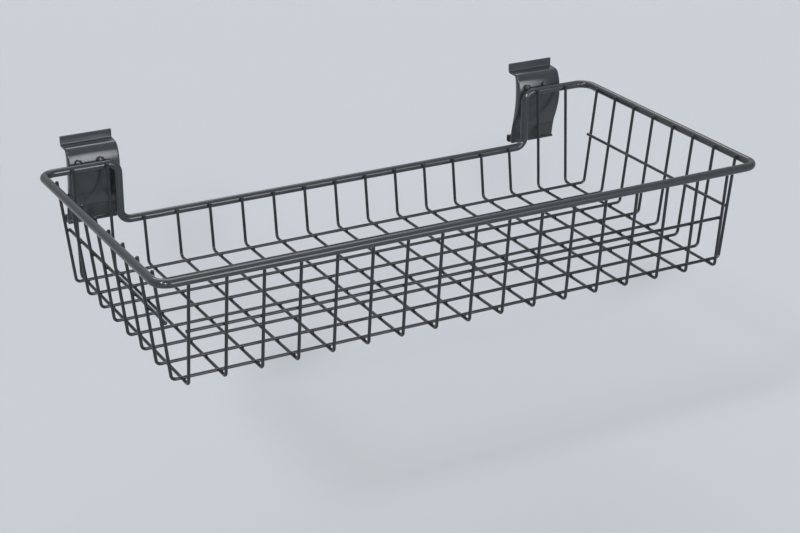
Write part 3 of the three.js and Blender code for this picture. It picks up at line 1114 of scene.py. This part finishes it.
@dataclass
class CamLock:
    """The turning lock at a bracket's foot: nylon bar and knob on a headed pin."""

    side: Side
    bar_radius: float = 4 * MM
    nose_reach: float = 8.5 * MM
    nose_thickness: float = 2.6 * MM
    moulded_edge: float = 0.35 * MM
    knob_corner: float = 1.8 * MM
    socket_wall: float = 1.4 * MM
    socket_depth: float = 1.4 * MM
    pin_radius: float = 1.5 * MM
    pin_clearance: float = 0.3 * MM
    head_overhang: float = 1.1 * MM
    head_length: float = 1.2 * MM
    head_round: float = 0.4 * MM
    pieces: dict[str, Object] = field(default_factory=dict)

    def __post_init__(self) -> None:
        """Reads the pin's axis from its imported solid."""
        self.axis = middle(self.node("pin"))

    @property
    def bore_radius(self) -> float:
        """The radius of the bores that the pin runs in."""
        return self.pin_radius + self.pin_clearance

    def node(self, part: str) -> str:
        """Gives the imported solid's name of a part of the lock."""
        return f"{self.side.value}_cam_{part}"

    def build_bar(self) -> Object:
        """Draws the bar's outline, with its nose, and draws it out along the wall.

        Returns:
            The bar.
        """
        low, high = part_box(self.node("bar"))
        centre = Vector((low.x, self.axis.y, self.axis.z))
        tip_radius = self.nose_thickness / 2
        tip = centre + INTO_WALL * (self.bar_radius - tip_radius) + UP * (self.nose_reach - tip_radius)
        nose_front = self.bar_radius - self.nose_thickness
        foot_angle = math.acos(nose_front / self.bar_radius)
        foot = centre + INTO_WALL * nose_front + UP * self.bar_radius * math.sin(foot_angle)
        outline = Outline(f"moulded_{self.node('bar')}", centre - INTO_WALL * self.bar_radius)
        outline.arc(centre, math.pi)
        outline.line_to(tip + INTO_WALL * tip_radius)
        outline.arc(tip, math.pi)
        outline.line_to(foot)
        outline.arc(centre, math.pi - foot_angle)
        piece = outline.draw_out(high.x - low.x)
        cut_bore(piece, self.axis, self.bore_radius, 2 * (high.x - low.x))
        soften_edges(piece, self.moulded_edge)
        return piece

    def build_knob(self) -> Object:
        """Shapes the knob from a block with round corners and a socket in its outer end.

        Returns:
            The knob.
        """
        low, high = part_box(self.node("knob"))
        deselect_all()
        bpy.ops.mesh.primitive_cube_add(size=1, location=(low + high) / 2, scale=high - low)
        piece = settle_primitive(f"moulded_{self.node('knob')}")
        edit(piece)
        select_parts("EDGE", lambda edge: abs(edge.verts[0].co.x - edge.verts[1].co.x) > PLACE_TOLERANCE)
        bpy.ops.mesh.bevel(offset=self.knob_corner, segments=5)
        select_parts("FACE", lambda face: face.normal.x < -FACING)
        bpy.ops.mesh.inset(thickness=self.socket_wall)
        bpy.ops.mesh.extrude_region_move(TRANSFORM_OT_translate={"value": ALONG * self.socket_depth})
        close_up()
        depth = high.x - low.x - self.socket_depth
        cut_bore(piece, Vector((high.x, *self.axis.yz)), self.bore_radius, depth)
        soften_edges(piece, self.moulded_edge, 3)
        return piece

    def build_pin(self) -> Object:
        """Turns the pin with its round-edged head.

        Returns:
            The pin.
        """
        low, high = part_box(self.node("pin"))
        head_x = high.x - self.head_length
        head_radius = self.pin_radius + self.head_overhang
        profile = [
            (low.x, 0),
            (low.x, self.pin_radius - self.head_round),
            (low.x + self.head_round, self.pin_radius),
            (head_x, self.pin_radius),
            (head_x, head_radius),
            (high.x - self.head_round, head_radius),
            (high.x - self.head_round / 3, head_radius - self.head_round / 3),
            (high.x, head_radius - self.head_round),
            (high.x, 0),
        ]
        points = [Vector((x, self.axis.y, self.axis.z + radius)) for x, radius in profile]
        piece = Outline(f"plated_{self.node('pin')}", *points).turn(self.axis)
        smooth(piece)
        return piece

    def build(self) -> None:
        """Builds the bar, the knob and the pin."""
        self.pieces = {"bar": self.build_bar(), "knob": self.build_knob(), "pin": self.build_pin()}

    def dress(self) -> None:
        """Gives each part its finish and sets it on the turning body."""
        for part, piece in self.pieces.items():
            finish = ZINC_PLATE if part == "pin" else BLACK_NYLON
            hand_over(piece, finish, self.side.cam, self.node(part))


@dataclass(frozen=True)
class Lamp:
    """A far soft lamp: the way to it, its width in degrees and its strength."""

    name: str
    heading: tuple[float, float, float]
    width: float
    strength: float


@dataclass
class Studio:
    """A plain pale floor, soft light and a camera that looks down at the basket's corner.

    The room's light is that of a pale wall behind the basket, a dimmer room with a window ahead of it and a
    ceiling.
    """

    floor_colour: str = "#c4c8cc"
    floor_bounce: str = "#6d7072"
    floor_roughness: float = 0.9
    floor_size: float = 12.0
    floor_drop: float = 250 * MM
    room_colour: str = "#f3f6fa"
    wall_light: float = 0.50
    wall_fade: tuple[float, float] = (-0.2, 0.4)
    room_light: float = 0.16
    ceiling_light: float = 0.30
    ceiling_fade: tuple[float, float] = (0.2, 0.9)
    window_light: float = 8.0
    window_heading: tuple[float, float, float] = (0.25, -0.945, 0.18)
    window_spread: tuple[float, float] = (20.0, 4.0)
    backdrop_light: float = 0.74
    aim: tuple[float, float, float] = (-0.0395, -0.2394, -0.0784)
    distance: float = 1.75
    azimuth: float = -28.26
    elevation: float = 22.9
    lens: float = 86.82
    sensor: float = 36.0
    lamps: tuple[Lamp, ...] = (
        Lamp("key_lamp", (-0.60, -0.41, 0.69), 9.0, 1.0),
        Lamp("front_lamp", (-0.44, -0.80, 0.42), 8.0, 1.0),
        Lamp("back_lamp", (0.20, 0.62, 0.76), 33.0, 0.7),
    )

    def build_floor(self) -> None:
        """Lays the floor under the basket."""
        deselect_all()
        height = CAD_BOX[0].z - self.floor_drop
        bpy.ops.mesh.primitive_plane_add(size=self.floor_size, location=(0, 0, height))
        floor = settle_primitive("floor")
        material = bpy.data.materials.new("matt_pale_floor")
        material.use_nodes = True
        tree = material.node_tree
        path = add_node(tree, "ShaderNodeLightPath").outputs
        seen = path["Is Camera Ray"]
        for kind in ("Is Glossy Ray", "Is Transmission Ray"):
            links = {0: seen, 1: path[kind]}
            seen = add_node(tree, "ShaderNodeMath", {"operation": "MAXIMUM"}, {}, links).outputs[0]
        colours = {6: linear_colour(self.floor_bounce), 7: linear_colour(self.floor_colour)}
        colour = add_node(tree, "ShaderNodeMix", {"data_type": "RGBA"}, colours, {0: seen})
        shader = tree.nodes["Principled BSDF"]
        tree.links.new(colour.outputs[2], shader.inputs["Base Color"])
        shader.inputs["Roughness"].default_value = self.floor_roughness
        floor.data.materials.append(material)

    def hang_lamps(self) -> None:
        """Hangs the lamps."""
        for lamp in self.lamps:
            heading = Vector(lamp.heading)
            turn = heading.to_track_quat("Z", "Y").to_euler()
            bpy.ops.object.light_add(type="SUN", location=heading, rotation=turn)
            light = bpy.context.object
            light.name = lamp.name
            light.data.angle = math.radians(lamp.width)
            light.data.energy = lamp.strength

    def light_room(self) -> None:
        """Sets the light of the room, and the plain backdrop that the camera sees in its place."""
        world = bpy.data.worlds.new("studio_room")
        world.use_nodes = True
        tree = world.node_tree
        heading = add_node(tree, "ShaderNodeTexCoord").outputs["Generated"]

        def shade(towards: Vector, fade: tuple[float, float], dark: float, light: float) -> NodeSocket:
            """Lets the light rise towards a direction, between two cosines, from dark to light."""
            values = {1: towards.normalized()}
            share = add_node(tree, "ShaderNodeVectorMath", {"operation": "DOT_PRODUCT"}, values, {0: heading})
            values = {"From Min": fade[0], "From Max": fade[1], "To Min": dark, "To Max": light}
            links = {"Value": share.outputs["Value"]}
            return add_node(tree, "ShaderNodeMapRange", {}, values, links).outputs["Result"]

        edge, core = (math.cos(math.radians(angle)) for angle in self.window_spread)
        light = shade(INTO_WALL, self.wall_fade, self.room_light, self.wall_light)
        for more in (
            shade(UP, self.ceiling_fade, 0.0, self.ceiling_light),
            shade(Vector(self.window_heading), (edge, core), 0.0, self.window_light),
        ):
            light = add_node(tree, "ShaderNodeMath", {"operation": "ADD"}, {}, {0: light, 1: more}).outputs[0]
        seen = add_node(tree, "ShaderNodeLightPath").outputs["Is Camera Ray"]
        strength = add_node(tree, "ShaderNodeMix", {}, {3: self.backdrop_light}, {0: seen, 2: light})
        room = tree.nodes["Background"]
        room.inputs["Color"].default_value = linear_colour(self.room_colour)
        tree.links.new(strength.outputs[0], room.inputs["Strength"])
        bpy.context.scene.world = world
        bpy.context.scene.view_settings.view_transform = "Standard"

    def build_camera(self) -> None:
        """Sets the camera at the photograph's viewing angle."""
        azimuth, elevation = math.radians(self.azimuth), math.radians(self.elevation)
        level = Vector((math.sin(azimuth), -math.cos(azimuth), 0)) * math.cos(elevation)
        back = level + UP * math.sin(elevation)
        place = Vector(self.aim) + back * self.distance
        deselect_all()
        bpy.ops.object.camera_add(location=place, rotation=back.to_track_quat("Z", "Y").to_euler())
        camera = bpy.context.object
        camera.data.lens = self.lens
        camera.data.sensor_width = self.sensor
        bpy.context.scene.camera = camera

    def build(self) -> None:
        """Sets up floor, light and camera."""
        self.build_floor()
        self.hang_lamps()
        self.light_room()
        self.build_camera()


def main() -> None:
    """Builds the studio and the basket's sub-assemblies in order, and dresses each."""
    logging.basicConfig(level=logging.INFO, format="%(name)s: %(message)s")
    Studio().build()
    rim = RimRod()
    grid = WireGrid(rim)
    parts = [rim, grid, SpotWelds(grid)]
    for side in Side:
        parts += [Bracket(side, rim), CamLock(side)]
    for part in parts:
        part.build()
        part.dress()


if __name__ == "__main__":
    main()
